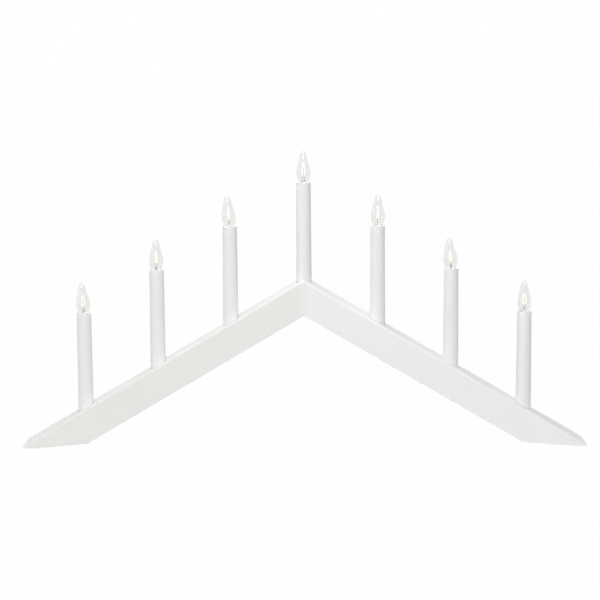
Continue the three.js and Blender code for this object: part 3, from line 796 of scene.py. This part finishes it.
tube_profile = [(TUBE_FOOT, TUBE_BOTTOM)]
for i in range(1, TUBE_ROWS):
    part_way = i / TUBE_ROWS
    tube_profile.append((TUBE_FOOT + (TUBE_RIM - TUBE_FOOT) * part_way, TUBE_BOTTOM * (1 - part_way)))
tube_profile += arc(TUBE_RIM - LIP, -LIP, LIP, 0, 90)
tube_profile += arc(TUBE_BORE + LIP, -LIP, LIP, 90, 180)
tube_profile += [
    (TUBE_BORE, LEDGE_TOP), (LEDGE_BORE, LEDGE_TOP), (LEDGE_BORE, LEDGE_BOTTOM),
    (TUBE_BORE, LEDGE_BOTTOM), (TUBE_FOOT - TUBE_WALL, TUBE_BOTTOM), (TUBE_FOOT, TUBE_BOTTOM),
]
tubes = turned("moulded_candle_tubes", tube_profile, tube_plastic, sides=72)
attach(tubes, "frame")
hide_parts(*[f"candle_tube_{c['number']}" for c in candles])
print(tubes.name, len(tubes.data.polygons), "faces")

# %% [markdown]
# ## Lamp holders and screw shells
# Inside each tube a white cup holds a brass shell, and the shell has a rolled thread for the bulb.
# Only the cup's edge shows round the bulb, and a ring would do for that. But a screwed-out bulb
# bares more, so both are turned in full by the same tree.

# %% Lamp holders
HOLDER_RADIUS, HOLDER_BORE, HOLDER_MOUTH, HOLDER_ROUND = 7.1, 5.75, 0.5, 0.3
HOLDER_TOP, HOLDER_FLOOR, HOLDER_BOTTOM = -0.3, -19.5, -21.5

round_at = HOLDER_RADIUS - HOLDER_ROUND
holder_profile = [(0, HOLDER_BOTTOM), (round_at, HOLDER_BOTTOM)]
holder_profile += arc(round_at, HOLDER_BOTTOM + HOLDER_ROUND, HOLDER_ROUND, -90, 0, count=3)
holder_profile += arc(round_at, HOLDER_TOP - HOLDER_ROUND, HOLDER_ROUND, 0, 90, count=3)
holder_profile += arc(HOLDER_BORE + HOLDER_MOUTH, HOLDER_TOP - HOLDER_MOUTH, HOLDER_MOUTH, 90, 180, count=4)
holder_profile += [(HOLDER_BORE, HOLDER_FLOOR), (0, HOLDER_FLOOR)]
holders = turned("pressed_lamp_holders", holder_profile, holder_plastic, sides=48)
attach(holders, "frame")
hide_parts(*[f"lamp_holder_{c['number']}" for c in candles])
print(holders.name, len(holders.data.polygons), "faces")

# %% Screw shells
SHELL_BORE, SHELL_RADIUS = 5.1, 5.5
SHELL_BOTTOM, SHELL_TOP = -19.3, -7.3
THREAD_DEPTH = 0.2
THREAD_STEP = 0.18


def sleeve(inner, outer, bottom, top, step):
    count = max(1, round((top - bottom) / step))
    levels = [bottom + (top - bottom) * i / count for i in range(count + 1)]
    return [(outer, z) for z in levels] + [(inner, z) for z in reversed(levels)] + [(outer, bottom)]


shell_profile = sleeve(SHELL_BORE, SHELL_RADIUS, SHELL_BOTTOM, SHELL_TOP, THREAD_STEP)
shells = turned("rolled_screw_shells", shell_profile, brass, sides=32,
                thread=(THREAD_DEPTH, SHELL_BOTTOM, SHELL_TOP))
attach(shells, "frame")
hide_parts(*[f"screw_shell_{c['number']}" for c in candles])
print(shells.name, len(shells.data.polygons), "faces")

# %% [markdown]
# ## Bulb caps and contacts
# The cap is thin nickel-plated brass with the same thread as the shell. A bump pattern could show the
# thread, but a real one in step with the shell lets the bulb turn without cutting into it. A
# collar at its top holds the glass. A dark insulator closes the lower end, with a drop of solder as
# the contact.

# %% Bulb caps
CAP_RADIUS, CAP_BORE = 4.75, 4.45
CAP_BOTTOM, CAP_SHOULDER, CAP_TOP = -16.0, -6.5, -4.5
COLLAR, COLLAR_ROUND = 0.5, 0.15

cap_profile = sleeve(CAP_BORE, CAP_RADIUS, CAP_BOTTOM, CAP_SHOULDER, THREAD_STEP)
half = len(cap_profile) // 2
outside, inside = CAP_RADIUS + COLLAR, CAP_BORE + COLLAR
collar_ring = [
    (outside, CAP_SHOULDER + COLLAR), (outside, CAP_TOP - COLLAR_ROUND), (outside - COLLAR_ROUND, CAP_TOP),
    (inside, CAP_TOP), (inside, CAP_SHOULDER + COLLAR),
]
cap_profile = cap_profile[:half] + collar_ring + cap_profile[half:]
for candle in candles:
    number = candle["number"]
    cap = turned(f"threaded_bulb_cap_{number}", cap_profile, nickel,
                 sides=32, first=candle["step"], count=1, thread=(THREAD_DEPTH, CAP_BOTTOM, CAP_SHOULDER))
    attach(cap, f"bulb_{number}")
    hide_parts(f"bulb_cap_{number}")
print("caps of", len(cap.data.polygons), "faces each")

# %% Insulators and solder buttons
BUTTON, BUTTON_BOTTOM, BUTTON_ROUND = 1.6, -18.5, 0.7
PLUG, PLUG_TOP, INSULATOR_BOTTOM = 4.15, -14.5, -17.5
BUTTON_SEAT, PLUG_BEVEL, PLUG_SHOW = 0.3, 0.4, 0.1

insulator_profile = [
    (0, INSULATOR_BOTTOM), (BUTTON + BUTTON_SEAT, INSULATOR_BOTTOM),
    (PLUG - PLUG_BEVEL, CAP_BOTTOM - PLUG_BEVEL), (PLUG, CAP_BOTTOM - PLUG_SHOW),
    (PLUG, PLUG_TOP), (0, PLUG_TOP),
]
button_profile = [(0, BUTTON_BOTTOM)]
button_profile += arc(BUTTON - BUTTON_ROUND, BUTTON_BOTTOM + BUTTON_ROUND, BUTTON_ROUND, -90, 0, count=5)
button_profile += [(BUTTON, INSULATOR_BOTTOM), (0, INSULATOR_BOTTOM)]
for candle in candles:
    number, step = candle["number"], candle["step"]
    insulator = turned(f"bulb_insulator_{number}", insulator_profile, dark_glass,
                       sides=32, first=step, count=1)
    button = turned(f"solder_button_{number}", button_profile, solder,
                    sides=24, first=step, count=1)
    for made in (insulator, button):
        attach(made, f"bulb_base_{number}")
    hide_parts(f"bulb_contact_{number}")
print("insulator", len(insulator.data.polygons), "faces, button", len(button.data.polygons), "faces")

# %% [markdown]
# ## Bulb glass
# The glass is blown to a candle flame: a narrow neck, a full belly low down, straight flanks and a
# blunt tip. It could be pulled from a sphere by hand, but three Bezier curves that run into each other
# give the outline exactly, and the inner face is the same outline moved in by the wall. Such bulbs
# are cemented by hand and lean a little in their caps. So thin a glass casts almost no shadow, but a
# path tracer gives it a dark one, so it is switched off.

# %% Outline of the glass
NECK, NECK_BOTTOM, NECK_RUN = 4.15, -10.5, 2.5
BELLY, BELLY_HEIGHT, BELLY_DROP, BELLY_RISE = 8.35, 10.5, 7.3, 6.0
FLANK, FLANK_HEIGHT, FLANK_RUN, FLANK_LEAN = 5.6, 24.3, 4.5, 0.23
TIP_WIDTH, TIP_HEIGHT = 3.2, 36.6
GLASS_WALL = 0.6


def bezier(a, b, c, d, count):
    points = []
    for i in range(count + 1):
        t = i / count
        weights = ((1 - t) ** 3, 3 * t * (1 - t) ** 2, 3 * t * t * (1 - t), t ** 3)
        points.append(tuple(sum(w * p[k] for w, p in zip(weights, (a, b, c, d))) for k in (0, 1)))
    return points


def glass_outline(inset):
    neck, belly, flank, tip = NECK - inset, BELLY - inset, FLANK - inset, TIP_HEIGHT - inset
    lean_in = FLANK_LEAN * FLANK_RUN
    lower = bezier((neck, CAP_TOP), (neck, CAP_TOP + NECK_RUN),
                   (belly, BELLY_HEIGHT - BELLY_DROP), (belly, BELLY_HEIGHT), count=16)
    middle = bezier((belly, BELLY_HEIGHT), (belly, BELLY_HEIGHT + BELLY_RISE),
                    (flank + lean_in, FLANK_HEIGHT - FLANK_RUN), (flank, FLANK_HEIGHT), count=14)
    upper = bezier((flank, FLANK_HEIGHT), (flank - lean_in, FLANK_HEIGHT + FLANK_RUN),
                   (TIP_WIDTH, tip), (0, tip), count=18)
    return [(neck, NECK_BOTTOM)] + lower + middle[1:] + upper[1:]


glass_profile = glass_outline(GLASS_WALL)[::-1] + glass_outline(0)
print("outline of the glass:", len(glass_profile), "points")

# %% Bulb glass
GLASS_LEAN = {1: -2.6, 2: -0.9, 3: -4.2, 4: 0.0, 5: 0.7, 6: -4.0, 7: -0.6}
LEAN_HEIGHT = -5.5


def lean(made, candle):
    """Tip a glass, or what is inside it, about the middle of the collar."""
    pivot = Vector((candle["x"], 0, candle["rim"] + LEAN_HEIGHT * MM))
    tip = Matrix.Rotation(math.radians(GLASS_LEAN[candle["number"]]), 4, "Y")
    made.data.transform(Matrix.Translation(pivot) @ tip @ Matrix.Translation(-pivot))


for candle in candles:
    number = candle["number"]
    bulb = turned(f"blown_bulb_glass_{number}", glass_profile, bulb_glass,
                  sides=64, first=candle["step"], count=1)
    lean(bulb, candle)
    bulb.visible_shadow = False
    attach(bulb, f"bulb_{number}")
    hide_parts(f"bulb_glass_{number}")
print("glass of", len(bulb.data.polygons), "faces each")

# %% [markdown]
# ## Stem, lead wires and filament
# A glass stem comes up the neck and is pinched flat round two lead wires. The wires carry a
# hairpin of coiled tungsten. The stem is turned and then squeezed, as in the lamp works. Wires and
# coil could be drawn as curves with a bevel, but a coil would need thousands of points. So a second
# tree sweeps them: it walks along a line, winds round it if the wire is coiled, and gives it a
# round section.

# %% Profile of the stem
STEM_FOOT, STEM_WALL, STEM_ROUND = 3.2, 0.5, 0.5
STEM_TOP, STEM_HOLLOW = 6.0, 2.6
PINCH, PINCH_FULL = 1.1, 4.5
FLARE_BEND = 1.0
HOLLOW_LOW, HOLLOW_HIGH, HOLLOW_TIP = -1.4, 1.6, 0.5

inner = STEM_FOOT - STEM_WALL
flare = bezier((STEM_FOOT, CAP_TOP), (STEM_FOOT, -FLARE_BEND),
               (PINCH, FLARE_BEND), (PINCH, PINCH_FULL), count=12)
hollow = bezier((inner, CAP_TOP), (inner, HOLLOW_LOW),
                (HOLLOW_TIP, HOLLOW_HIGH), (0, STEM_HOLLOW), count=10)
stem_profile = [(inner, NECK_BOTTOM), (STEM_FOOT, NECK_BOTTOM)] + flare
stem_profile += arc(PINCH - STEM_ROUND, STEM_TOP - STEM_ROUND, STEM_ROUND, 0, 90, count=4) + [(0, STEM_TOP)]
stem_profile += hollow[::-1] + [(inner, NECK_BOTTOM)]
print("profile of the stem:", len(stem_profile), "points")

# %% Glass stems
PINCH_FROM, PINCH_FLAT, PINCH_SPREAD = 0.5, 0.55, 0.35
FILAMENT_TURN = 62


def squeeze(made, candle):
    for vertex in made.data.vertices:
        up = (vertex.co.z - candle["rim"]) / MM
        pinched = min(1, max(0, (up - PINCH_FROM) / (PINCH_FULL - PINCH_FROM)))
        vertex.co.y *= 1 - (1 - PINCH_FLAT) * pinched
        vertex.co.x = candle["x"] + (vertex.co.x - candle["x"]) * (1 + PINCH_SPREAD * pinched)


def turn_about(made, candle):
    """Turn a bulb's inside the way the bulb happens to stop when it is screwed home."""
    pivot = Vector((candle["x"], 0, 0))
    spin = Matrix.Rotation(math.radians(FILAMENT_TURN * candle["step"]), 4, "Z")
    made.data.transform(Matrix.Translation(pivot) @ spin @ Matrix.Translation(-pivot))


for candle in candles:
    number = candle["number"]
    stem = turned(f"pinched_stem_{number}", stem_profile, stem_glass,
                  sides=32, first=candle["step"], count=1)
    squeeze(stem, candle)
    turn_about(stem, candle)
    lean(stem, candle)
    stem.visible_shadow = False
    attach(stem, f"bulb_{number}")
print("stem of", len(stem.data.polygons), "faces")

# %% Wire along a path: the coil
wire_along, given = tree_with("wire_along_a_path", {
    "Path": "Geometry", "Wire radius": "Float", "Coil radius": "Float", "Coil pitch": "Float",
    "Point spacing": "Float", "Sides": "Int", "Finish": "Material",
}, "Wire")
tree = wire_along
path = add_node(tree, "GeometryNodeMeshToCurve", {0: given["Path"]}).outputs[0]
spaced = add_node(tree, "GeometryNodeResampleCurve", {
    "Curve": path, "Length": given["Point spacing"],
}, mode="LENGTH").outputs[0]
along = add_node(tree, "GeometryNodeSplineParameter").outputs["Length"]
turns = add_node(tree, "ShaderNodeMath", {
    0: along, 1: given["Coil pitch"],
}, operation="DIVIDE").outputs[0]
angle = add_node(tree, "ShaderNodeMath", {0: turns, 1: FULL_TURN}, operation="MULTIPLY").outputs[0]
tangent = add_node(tree, "GeometryNodeInputTangent").outputs[0]
side = add_node(tree, "ShaderNodeVectorMath", {
    0: tangent, 1: (0, 1, 0),
}, operation="CROSS_PRODUCT").outputs[0]
cosine = add_node(tree, "ShaderNodeMath", {0: angle}, operation="COSINE").outputs[0]
sine = add_node(tree, "ShaderNodeMath", {0: angle}, operation="SINE").outputs[0]
inward = add_node(tree, "ShaderNodeVectorMath", {0: side, "Scale": cosine}, operation="SCALE").outputs[0]
upright = add_node(tree, "ShaderNodeCombineXYZ", {"Y": sine}).outputs[0]
winding = add_node(tree, "ShaderNodeVectorMath", {0: inward, 1: upright}, operation="ADD").outputs[0]
offset = add_node(tree, "ShaderNodeVectorMath", {
    0: winding, "Scale": given["Coil radius"],
}, operation="SCALE").outputs[0]
wound = add_node(tree, "GeometryNodeSetPosition", {"Geometry": spaced, "Offset": offset}).outputs[0]
print("with the coil:", len(tree.nodes), "nodes")

# %% Wire along a path: the round section
section = add_node(tree, "GeometryNodeCurvePrimitiveCircle", {
    "Resolution": given["Sides"], "Radius": given["Wire radius"],
}).outputs["Curve"]
swept = add_node(tree, "GeometryNodeCurveToMesh", {
    "Curve": wound, "Profile Curve": section, "Fill Caps": True,
}).outputs[0]
hand_out(tree, swept, given["Finish"], "Wire")
print("tree:", wire_along.name, "with", len(tree.nodes), "nodes")

# %% Lines of the hairpin and its lead wires
HAIRPIN_FOOT, HAIRPIN_SHOULDER, HAIRPIN_TOP = 1.3, 1.7, 18.4
HAIRPIN_SPREAD, SPREAD_HEIGHT = 2.3, 13.5
LEAD_SPREAD, LEAD_FOOT, LEAD_TOP, LEAD_LAP = 0.55, 3.2, 8.3, 0.2
LEAD_BEND = [(0.55, 5.4), (0.7, 6.0), (1.1, 6.9)]

hairpin_left = bezier((-HAIRPIN_FOOT, LEAD_TOP), (-HAIRPIN_SPREAD, SPREAD_HEIGHT),
                      (-HAIRPIN_SHOULDER, HAIRPIN_TOP), (0, HAIRPIN_TOP), count=14)
hairpin_line = hairpin_left + [(-x, z) for x, z in hairpin_left[-2::-1]]
# A lead leaves the stem upright and then bends out to the foot of the hairpin.
lead_line = [(LEAD_SPREAD, LEAD_FOOT), *LEAD_BEND, (HAIRPIN_FOOT, LEAD_TOP + LEAD_LAP)]
print("hairpin drawn through", len(hairpin_line), "points, each lead through", len(lead_line))

# %% Hairpins and lead wires
# A real coil is several times finer. It is drawn this coarse so that its glow shows.
COIL_RADIUS, COIL_WIRE = 0.28, 0.1
COIL_PITCH, COIL_SPACING = 0.34, 0.045
LEAD_RADIUS, LEAD_SPACING = 0.2, 0.4
WIRE_SIDES = 6


def wire(name, line, candle, radius, coil, spacing, finish):
    points = [(x * MM, 0, z * MM) for x, z in line]
    made = grown(name, wire_along, points, {
        "Wire radius": radius * MM, "Coil radius": coil * MM, "Coil pitch": COIL_PITCH * MM,
        "Point spacing": spacing * MM, "Sides": WIRE_SIDES, "Finish": finish,
    })
    made.data.transform(Matrix.Translation((candle["x"], 0, candle["rim"])))
    turn_about(made, candle)
    lean(made, candle)
    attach(made, f"bulb_{candle['number']}")
    return made


for candle in candles:
    number = candle["number"]
    hairpin = wire(f"coiled_hairpin_{number}", hairpin_line, candle,
                   radius=COIL_WIRE, coil=COIL_RADIUS, spacing=COIL_SPACING, finish=tungsten)
    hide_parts(f"filament_{number}")
    for word, side in (("a", -1), ("b", 1)):
        wire(f"lead_wire_{number}_{word}", [(side * x, z) for x, z in lead_line], candle,
             radius=LEAD_RADIUS, coil=0.0, spacing=LEAD_SPACING, finish=lead_metal_painted_glow)
print("hairpin of", len(hairpin.data.polygons), "faces each")

# %% [markdown]
# ## Cord bush
# At the back of the right arm a white flanged sleeve lines the hole for the cord. The plain solid has
# sharp edges. A turned piece can have round ones, so the same tree makes it upright, and it is then
# laid on its side and moved to its hole.

# %% Cord bush
BUSH_BORE, BUSH_RADIUS, BUSH_FLANGE = 2.1, 3.2, 4.6
BUSH_LENGTH, FLANGE_THICKNESS, FLANGE_ROUND = 10.0, 1.2, 0.5

bush_profile = [(BUSH_BORE, -BUSH_LENGTH), (BUSH_RADIUS, -BUSH_LENGTH), (BUSH_RADIUS, -FLANGE_THICKNESS)]
bush_profile += [(BUSH_FLANGE, -FLANGE_THICKNESS)]
bush_profile += arc(BUSH_FLANGE - FLANGE_ROUND, -FLANGE_ROUND, FLANGE_ROUND, 0, 90)
bush_profile += arc(BUSH_BORE + FLANGE_ROUND, -FLANGE_ROUND, FLANGE_ROUND, 90, 180)
bush_profile += [(BUSH_BORE, -BUSH_LENGTH)]
bush = turned("moulded_cord_bush", bush_profile, bush_plastic, sides=48, first=0, count=1)
low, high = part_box("cord_bush")
back = Vector(((low.x + high.x) / 2, high.y, (low.z + high.z) / 2))
to_origin = Matrix.Translation((0, 0, -MIDDLE_RIM))
on_its_side = Matrix.Rotation(-math.pi / 2, 4, "X")
bush.data.transform(Matrix.Translation(back) @ on_its_side @ to_origin)
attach(bush, "frame")
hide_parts("cord_bush")
print(bush.name, "at", [round(v / MM, 1) for v in back])

# %% [markdown]
# ## Finishes for the solids that stay
# The groove covers, the dowels and the wiring are right as they are and hardly show. Making them anew
# would add nothing to see, so they keep their solids, and only their materials change.

# %% Finishes on solids
kept = {
    # The groove covers take their arm's paint: painted shade on the left, painted light on the right.
    "left_groove_cover": left_paint_painted_shade, "right_groove_cover": right_paint_painted_light, "front_mitre_dowel": beech,
    "rear_mitre_dowel": beech, "wiring_loom": wire_cover,
}
for node, finish in kept.items():
    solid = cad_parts[node]
    solid.data.materials.clear()
    solid.data.materials.append(finish)
print("finished solids:", ", ".join(kept))

# %% [markdown]
# ## Floor and light
# The candlestick stands on a pale floor in an even, bright studio. Much of the light comes from all
# round. A large soft lamp in front and above gives the arms and tubes their shape, and a weak one at the
# left brightens their left edges. A small light box hangs close above the middle, so the top faces of
# the arms darken towards the feet. More light would turn the floor white, but the white arms with it.
# So the floor and the room are white only to rays from the camera, and to those that gloss or glass
# sends on. The floor keeps a small part of its own shading, so a trace of the soft shadow stays.

# %% Floor
FLOOR_SIZE = 60
FLOOR_WHITE = 0.985
FLOOR_COLOUR = "#d9d9d9"


def seen_straight(tree):
    """One for rays from the camera or sent on by gloss or glass, and nought for all others."""
    rays = add_node(tree, "ShaderNodeLightPath").outputs
    camera_or_gloss = add_node(tree, "ShaderNodeMath", {
        0: rays["Is Camera Ray"], 1: rays["Is Glossy Ray"],
    }, operation="MAXIMUM").outputs[0]
    return add_node(tree, "ShaderNodeMath", {
        0: camera_or_gloss, 1: rays["Is Transmission Ray"],
    }, operation="MAXIMUM").outputs[0]


ground = bmesh.new()
bmesh.ops.create_grid(ground, x_segments=1, y_segments=1, size=FLOOR_SIZE / 2)
floor = mesh_object("studio_floor", ground)
paper, tree = empty_finish("white_studio_paper")
white_part = add_node(tree, "ShaderNodeMath", {
    0: seen_straight(tree), 1: FLOOR_WHITE,
}, operation="MULTIPLY")
matt = add_node(tree, "ShaderNodeBsdfDiffuse", {"Color": linear(FLOOR_COLOUR)})
white = add_node(tree, "ShaderNodeEmission", {"Strength": 1.0})
mixed = add_node(tree, "ShaderNodeMixShader", {
    0: white_part.outputs[0], 1: matt.outputs[0], 2: white.outputs[0],
})
add_node(tree, "ShaderNodeOutputMaterial", {"Surface": mixed.outputs[0]})
floor.data.materials.append(paper)
print("floor", FLOOR_SIZE, "m wide")

# %% World
ROOM_LIGHT = 0.37
PURE_WHITE = "#ffffff"

scene = bpy.context.scene
scene.view_settings.view_transform = "Standard"
world = bpy.data.worlds.new("even_studio")
scene.world = world
world.use_nodes = True
tree = world.node_tree
tree.nodes.clear()
room = add_node(tree, "ShaderNodeBackground", {"Color": linear(PURE_WHITE), "Strength": ROOM_LIGHT})
backdrop = add_node(tree, "ShaderNodeBackground", {"Color": linear(PURE_WHITE), "Strength": 1.0})
sky = add_node(tree, "ShaderNodeMixShader", {
    0: seen_straight(tree), 1: room.outputs[0], 2: backdrop.outputs[0],
})
add_node(tree, "ShaderNodeOutputWorld", {"Surface": sky.outputs[0]})
print("room light", ROOM_LIGHT)

# %% Lamps
AIM = Vector((0, 0, 0.15))
# Each lamp has its watts, its width and its place, in metres.
LAMPS = {
    "soft_key": (70, 1.9, Vector((-0.15, -2.68, 2.4))),
    "soft_fill": (10, 1.9, Vector((-3.27, -0.88, 1.06))),
    "top_box": (1.95, 0.3, Vector((-0.13, 0, 0.9))),
}

for name, (watts, width, place) in LAMPS.items():
    light = bpy.data.lights.new(name, "AREA")
    light.energy, light.size = watts, width
    lamp = bpy.data.objects.new(name, light)
    scene.collection.objects.link(lamp)
    lamp.location = place
    lamp.rotation_euler = (place - AIM).to_track_quat("Z", "Y").to_euler()
    print(name, watts, "W at", [round(v, 2) for v in place])
